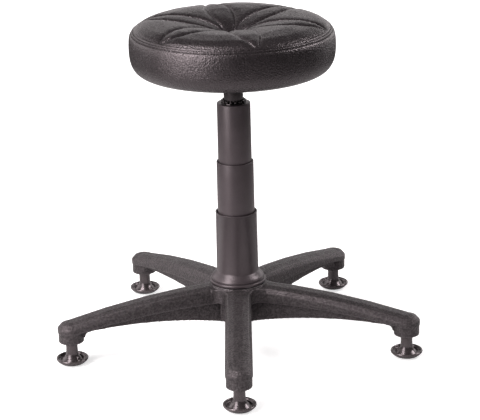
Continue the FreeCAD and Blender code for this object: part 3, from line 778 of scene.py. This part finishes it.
turned_piece("tube_sleeve", [
    (14.05, sleeve_foot, 0.1), (15.6, sleeve_foot, 0.2), (15.6, sleeve_top, 0.3),
    (14.05, sleeve_top, 0.1)], RING_PARTS, "seat", finishes["tube_black"])
print("crown teeth:", TEETH)

# %% [markdown]
# The glides are turned saucers with a raised rim, a moat and a bell-shaped neck. One
# section is turned five times, once under each arm.

# %% Glides
ARM_ANGLES = [math.radians(-90 + 72 * arm) for arm in range(5)]
GLIDE_CIRCLE = 283.5
GLIDE_PARTS = 56
glide_section = rounded_section([
    (0.5, 0.0, 0), (13.0, 0.0, 2.0), (20.5, 2.4, 4.0), (25.9, 8.2, 2.0), (25.9, 10.4, 1.0),
    (24.4, 11.6, 0.8), (22.8, 10.6, 0.8), (21.2, 7.2, 1.2), (18.0, 6.9, 1.2), (15.4, 9.4, 2.0),
    (12.0, 12.6, 3.0), (9.8, 17.0, 4.0), (9.4, 28.0, 4.0), (9.6, 36.0, 1.0), (10.2, 37.9, 0),
    (0.5, 37.9, 0)])
one_glide = grid_faces(len(glide_section), GLIDE_PARTS, True)
points, faces = [], []
for angle in ARM_ANGLES:
    centre = (GLIDE_CIRCLE * math.cos(angle), GLIDE_CIRCLE * math.sin(angle))
    faces += [tuple(len(points) + k for k in face) for face in one_glide]
    points += list(turn_section(glide_section, GLIDE_PARTS, centre))
glides = make_piece("glides_turned", points, faces, "base",
                    finishes["glide_plastic"])
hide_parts("glides")
print("glides: faces", len(faces))

# %% [markdown]
# The star base is one moulding whose arms run into the hub through soft fillets. Its
# solid has every form, with sharp edges. Where an arm meets its end from below, a
# small fillet is added. A voxel remesh turns the whole into an even net of small
# faces, and a few rounds of smoothing melt the edges as a mould does.

# %% Star base
FILLET_CORNER = np.array([263.4, 55.5])
FILLET_REACH = 9.0
FILLET_HALF_WIDTH = 14.5
FILLET_DEPTH = 1.5
WELD_REACH = 0.00002


def corner_fillets():
    """Small solids that fill the corner between each arm's underside and its end."""
    swing = np.linspace(0, math.pi / 2, 7)
    arc = [FILLET_CORNER + FILLET_REACH * np.array([math.sin(a) - 1, math.cos(a) - 1])
           for a in swing]
    section = [FILLET_CORNER + (FILLET_DEPTH, FILLET_DEPTH),
               FILLET_CORNER + (-FILLET_REACH - 1, FILLET_DEPTH)]
    section += arc + [FILLET_CORNER + (FILLET_DEPTH, -FILLET_REACH - 0.5)]
    count = len(section)
    points, faces = [], []
    for angle in ARM_ANGLES:
        turn = Matrix.Rotation(angle, 3, "Z")
        near = len(points)
        far = near + count
        for side in (-FILLET_HALF_WIDTH, FILLET_HALF_WIDTH):
            points += [tuple((turn @ Vector((r, side, z))) * MM) for r, z in section]
        faces += [tuple(near + k for k in reversed(range(count))),
                  tuple(far + k for k in range(count))]
        faces += [(near + k, near + (k + 1) % count, far + (k + 1) % count, far + k)
                  for k in range(count)]
    return points, faces


def softened_copy(name, part, extra_points, extra_faces, voxel, rounds):
    """Copy of a part's mesh with extra solids melted in and evenly softened edges."""
    mesh = bpy.data.meshes.new(name)
    mesh.from_pydata(extra_points, [], extra_faces)
    joined = bmesh.new()
    joined.from_mesh(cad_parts[part].data)
    joined.from_mesh(mesh)
    joined.to_mesh(mesh)
    joined.free()
    copy = bpy.data.objects.new(name, mesh)
    bpy.context.scene.collection.objects.link(copy)
    weld = copy.modifiers.new("weld", "WELD")
    weld.merge_threshold = WELD_REACH
    remesh = copy.modifiers.new("net", "REMESH")
    remesh.mode = "VOXEL"
    remesh.voxel_size = voxel
    soften = copy.modifiers.new("soften", "SMOOTH")
    soften.factor = 0.5
    soften.iterations = rounds
    graph = bpy.context.evaluated_depsgraph_get()
    copy.data = bpy.data.meshes.new_from_object(copy.evaluated_get(graph))
    copy.modifiers.clear()
    for face in copy.data.polygons:
        face.use_smooth = True
    return copy


star = softened_copy("base_star_moulding", "base_star", *corner_fillets(),
                     voxel=0.0013, rounds=2)
star.data.materials.clear()
star.data.materials.append(finishes["base_nylon"])
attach(star, "base")
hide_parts("base_star")
print("base faces:", len(star.data.polygons))

# %% [markdown]
# The floor is a pale plane that keeps the stool's soft shadow. Seen straight by the
# camera it gets a little light of its own so that it reads white. In reflections its
# colour is a painted shade that grows darker away from the stool. From below it is
# clear, so that the underside can be looked at.

# %% Floor
FLOOR_HALF = 8
FLOOR_TONE = 0.82
floor_mesh = bpy.data.meshes.new("floor")
corners = [(x * FLOOR_HALF, y * FLOOR_HALF, 0) for x, y in ((-1, -1), (1, -1), (1, 1), (-1, 1))]
floor_mesh.from_pydata(corners, [], [(0, 1, 2, 3)])
floor = bpy.data.objects.new("floor", floor_mesh)
bpy.context.scene.collection.objects.link(floor)
floor.location.z = -0.0002
floor_paint = bpy.data.materials.new("floor_paint")
floor_paint.use_nodes = True
tree = floor_paint.node_tree
tree.nodes.clear()
diffuse = add_node(tree, "ShaderNodeBsdfDiffuse")
glow = add_node(tree, "ShaderNodeEmission", Color=(1, 1, 1, 1))
rays = add_node(tree, "ShaderNodeLightPath")
level = add_node(tree, "ShaderNodeMath", {"operation": "MULTIPLY"})
spot = add_node(tree, "ShaderNodeTexCoord")
reach = add_node(tree, "ShaderNodeVectorMath", {"operation": "LENGTH"})
paint = add_node(tree, "ShaderNodeMix", {"data_type": "FLOAT"}, A=FLOOR_TONE)
side = add_node(tree, "ShaderNodeNewGeometry")
clear = add_node(tree, "ShaderNodeBsdfTransparent")
one_sided = add_node(tree, "ShaderNodeMixShader")
both = add_node(tree, "ShaderNodeAddShader")
output = add_node(tree, "ShaderNodeOutputMaterial")
tree.links.new(spot.outputs["Object"], reach.inputs[0])
own_light = blend_numbers(tree, reach.outputs["Value"], 1.0, 2.4, 0.62, 1.0)
# Painted shade: in reflections the floor's colour falls from pale to dark away from the stool.
painted_reflection_shade = blend_numbers(tree, reach.outputs["Value"], 0.5, 1.7, 0.66, 0.05)
tree.links.new(own_light, level.inputs[1])
tree.links.new(rays.outputs["Is Camera Ray"], level.inputs[0])
tree.links.new(rays.outputs["Is Glossy Ray"], paint.inputs["Factor"])
tree.links.new(painted_reflection_shade, paint.inputs["B"])
tree.links.new(paint.outputs["Result"], diffuse.inputs["Color"])
tree.links.new(level.outputs["Value"], glow.inputs["Strength"])
tree.links.new(diffuse.outputs["BSDF"], both.inputs[0])
tree.links.new(glow.outputs["Emission"], both.inputs[1])
tree.links.new(side.outputs["Backfacing"], one_sided.inputs["Fac"])
tree.links.new(both.outputs["Shader"], one_sided.inputs[1])
tree.links.new(clear.outputs["BSDF"], one_sided.inputs[2])
tree.links.new(one_sided.outputs["Shader"], output.inputs["Surface"])
floor_mesh.materials.append(floor_paint)

# %% [markdown]
# The photograph was lit from the left by big soft lamps. The seat's band and the
# column show them as a wide light stripe left of the middle, next to a dark one. Here
# three lamps at the left front make it: one broad, one small and higher, one steep and
# almost overhead that lights the top. A faint broad one stands behind on the left and
# a strong one behind on the right for the bright edges. Two very dim ones are the pale
# walls. The world fills what is left and is white where the camera sees it.

# %% Light
LAMP_COLOUR = (1.0, 0.95, 0.95)
LAMP_AIM = Vector((0.0, 0.0, 0.3))
WORLD_FILL, WORLD_SEEN = 0.085, 1.0


def soft_lamp(name, turn, tilt, distance, size, radiance):
    """Area lamp at a direction and height angle in degrees, facing the stool."""
    turn, tilt = math.radians(turn), math.radians(tilt)
    way = Vector((math.cos(turn) * math.cos(tilt), math.sin(turn) * math.cos(tilt),
                  math.sin(tilt)))
    light = bpy.data.lights.new(name, "AREA")
    light.shape = "RECTANGLE"
    light.size, light.size_y = size
    light.energy = radiance * math.pi * size[0] * size[1]
    light.color = LAMP_COLOUR
    lamp = bpy.data.objects.new(name, light)
    bpy.context.scene.collection.objects.link(lamp)
    lamp.location = LAMP_AIM + way * distance
    lamp.rotation_euler = (-way).to_track_quat("-Z", "Y").to_euler()


soft_lamp("lamp_left", -139, 19, 2.4, (1.5, 2.3), 7.0)
soft_lamp("lamp_left_above", -160, 60, 2.5, (1.0, 0.9), 15.0)
soft_lamp("lamp_left_behind", 158, 16, 2.6, (3.0, 1.6), 1.5)
soft_lamp("lamp_left_high", -142, 38, 2.5, (0.6, 0.5), 9.0)
soft_lamp("lamp_right_behind", 11, 34, 2.5, (0.8, 1.2), 11.0)
soft_lamp("wall_right", 48, 8, 2.6, (1.6, 1.2), 1.4)
soft_lamp("wall_behind", 90, 12, 3.2, (3.4, 1.5), 0.9)
world = bpy.data.worlds.new("studio")
bpy.context.scene.world = world
world.use_nodes = True
tree = world.node_tree
background = tree.nodes["Background"]
background.inputs["Color"].default_value = (1.0, 0.985, 0.99, 1)
rays = add_node(tree, "ShaderNodeLightPath")
fill = blend_numbers(tree, rays.outputs["Is Camera Ray"], 0, 1, WORLD_FILL, WORLD_SEEN)
tree.links.new(fill, background.inputs["Strength"])
bpy.context.scene.view_settings.view_transform = "Standard"
print("lamps:", len(bpy.data.lights))

# %% [markdown]
# The camera stands where the photograph was taken: well back and above the seat, with
# a long lens. Its turn and tilt are worked out from the same few angles.

# %% Camera
PICTURE_WIDTH = 480
FOCAL_PIXELS = 1904.0
SENSOR_WIDTH = 36.0
distance, camera_height = 2.928, 1.205
pitch, roll, yaw, turn = (math.radians(a) for a in (18.51, -1.40, 0.12, 0.44))
forward = Vector((math.sin(yaw) * math.cos(pitch), math.cos(yaw) * math.cos(pitch),
                  -math.sin(pitch)))
level_right = Vector((math.cos(yaw), -math.sin(yaw), 0))
level_up = level_right.cross(forward)
right = math.cos(roll) * level_right + math.sin(roll) * level_up
up = -math.sin(roll) * level_right + math.cos(roll) * level_up
pose = Matrix((right, up, -forward)).transposed().to_4x4()
pose.translation = Vector((0, -distance, camera_height))
lens = bpy.data.cameras.new("camera")
lens.sensor_fit = "HORIZONTAL"
lens.sensor_width = SENSOR_WIDTH
lens.lens = FOCAL_PIXELS * SENSOR_WIDTH / PICTURE_WIDTH
camera = bpy.data.objects.new("camera", lens)
bpy.context.scene.collection.objects.link(camera)
camera.matrix_world = Matrix.Rotation(turn, 4, "Z") @ pose
bpy.context.scene.camera = camera
print("lens in mm:", round(lens.lens, 1))
